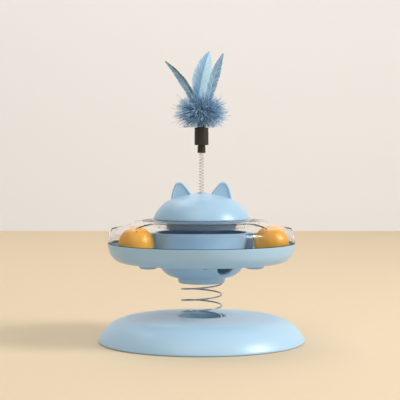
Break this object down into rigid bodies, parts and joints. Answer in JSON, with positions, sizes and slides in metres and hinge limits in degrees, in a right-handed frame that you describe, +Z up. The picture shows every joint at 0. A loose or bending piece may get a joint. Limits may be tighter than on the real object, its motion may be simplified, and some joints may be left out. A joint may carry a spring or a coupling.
{
  "type": "spring cat toy",
  "caption": "Round cat toy: weighted base, coil spring, saucer with a ball track under a clear cover, treat cup with spouts, cat-head lid and a feather teaser on a thin spring.",
  "frame": {"origin": "the middle of the round base, on the floor it stands on", "axes": "+Z up along the spring's axis, the front of the cat head towards -Y, +X to its right as seen in the picture"},
  "size_m": [0.2072, 0.2072, 0.29],
  "materials": {
    "blue_plastic": "satin moulded light blue",
    "clear_plastic": "clear polished",
    "ball_plastic": "satin moulded amber",
    "dark_plastic": "matt moulded dark brown",
    "spring_steel": "drawn wire, bright",
    "screw_steel": "zinc plated",
    "weight_iron": "as cast",
    "foot_rubber": "soft matt pale grey",
    "tinsel": "fine blue fibres",
    "feather": "dyed blue vane"
  },
  "bodies": {
    "base": {"base_shell": "blue_plastic", "base_plate": "blue_plastic", "base_weight": "weight_iron", "foot_ring": "foot_rubber", "base_screws": "screw_steel", "lower_spring_clamp": "blue_plastic", "lower_clamp_screws": "screw_steel"},
    "spring_foot": {"main_spring_lower": "spring_steel"},
    "spring_head": {"main_spring_upper": "spring_steel"},
    "saucer": {"upper_spring_clamp": "blue_plastic", "upper_clamp_screws": "screw_steel", "hub_bowl": "blue_plastic", "track_tray": "blue_plastic", "treat_cup": "blue_plastic", "hub_screws": "screw_steel", "right_chute": "blue_plastic", "left_chute": "blue_plastic", "clear_cover": "clear_plastic"},
    "first_ball": {"left_ball": "ball_plastic"},
    "second_ball": {"right_ball": "ball_plastic"},
    "lid": {"cat_head_lid": "blue_plastic", "plug_cap": "blue_plastic", "cap_screws": "screw_steel", "wand_socket": "blue_plastic"},
    "wand": {"wand_spring": "spring_steel"},
    "teaser": {"wand_ferrule": "dark_plastic", "feather_cap": "dark_plastic", "tinsel_pompom": "tinsel", "feather_left": "feather", "feather_middle": "feather", "feather_right": "feather"}
  },
  "joints": [
    {"name": "saucer_bounce", "type": "slide", "parent": "base", "child": "spring_foot", "axis": [0, 0, 1], "range_m": [-0.02, 0.015], "stiffness_N_per_m": 200, "springref_m": 0.014, "deforming": ["main_spring_lower", "main_spring_upper"]},
    {"name": "saucer_tilt_x", "type": "hinge", "parent": "spring_foot", "child": "spring_head", "pos_m": [0, 0, 0.044], "axis": [1, 0, 0], "range_deg": [-15, 15], "stiffness_Nm_per_rad": 1.2, "deforming": ["main_spring_lower", "main_spring_upper"]},
    {"name": "saucer_tilt_y", "type": "hinge", "parent": "spring_head", "child": "saucer", "pos_m": [0, 0, 0.044], "axis": [0, 1, 0], "range_deg": [-15, 15], "stiffness_Nm_per_rad": 1.2, "deforming": ["main_spring_lower", "main_spring_upper"]},
    {"name": "left_ball_orbit", "type": "hinge", "parent": "saucer", "child": "first_ball", "pos_m": [0, 0, 0.0992], "axis": [0, 0, 1], "continuous": true},
    {"name": "right_ball_orbit", "type": "hinge", "parent": "first_ball", "child": "second_ball", "pos_m": [0, 0, 0.0992], "axis": [0, 0, 1], "range_deg": [-112, 186]},
    {"name": "lid_lift", "type": "slide", "parent": "saucer", "child": "lid", "axis": [0, 0, 1], "range_m": [0, 0.03]},
    {"name": "wand_sway_x", "type": "hinge", "parent": "lid", "child": "wand", "pos_m": [0, 0, 0.165], "axis": [1, 0, 0], "range_deg": [-25, 25], "stiffness_Nm_per_rad": 0.04, "deforming": ["wand_spring"]},
    {"name": "wand_sway_y", "type": "hinge", "parent": "wand", "child": "teaser", "pos_m": [0, 0, 0.165], "axis": [0, 1, 0], "range_deg": [-25, 25], "stiffness_Nm_per_rad": 0.04, "deforming": ["wand_spring"]}
  ]
}
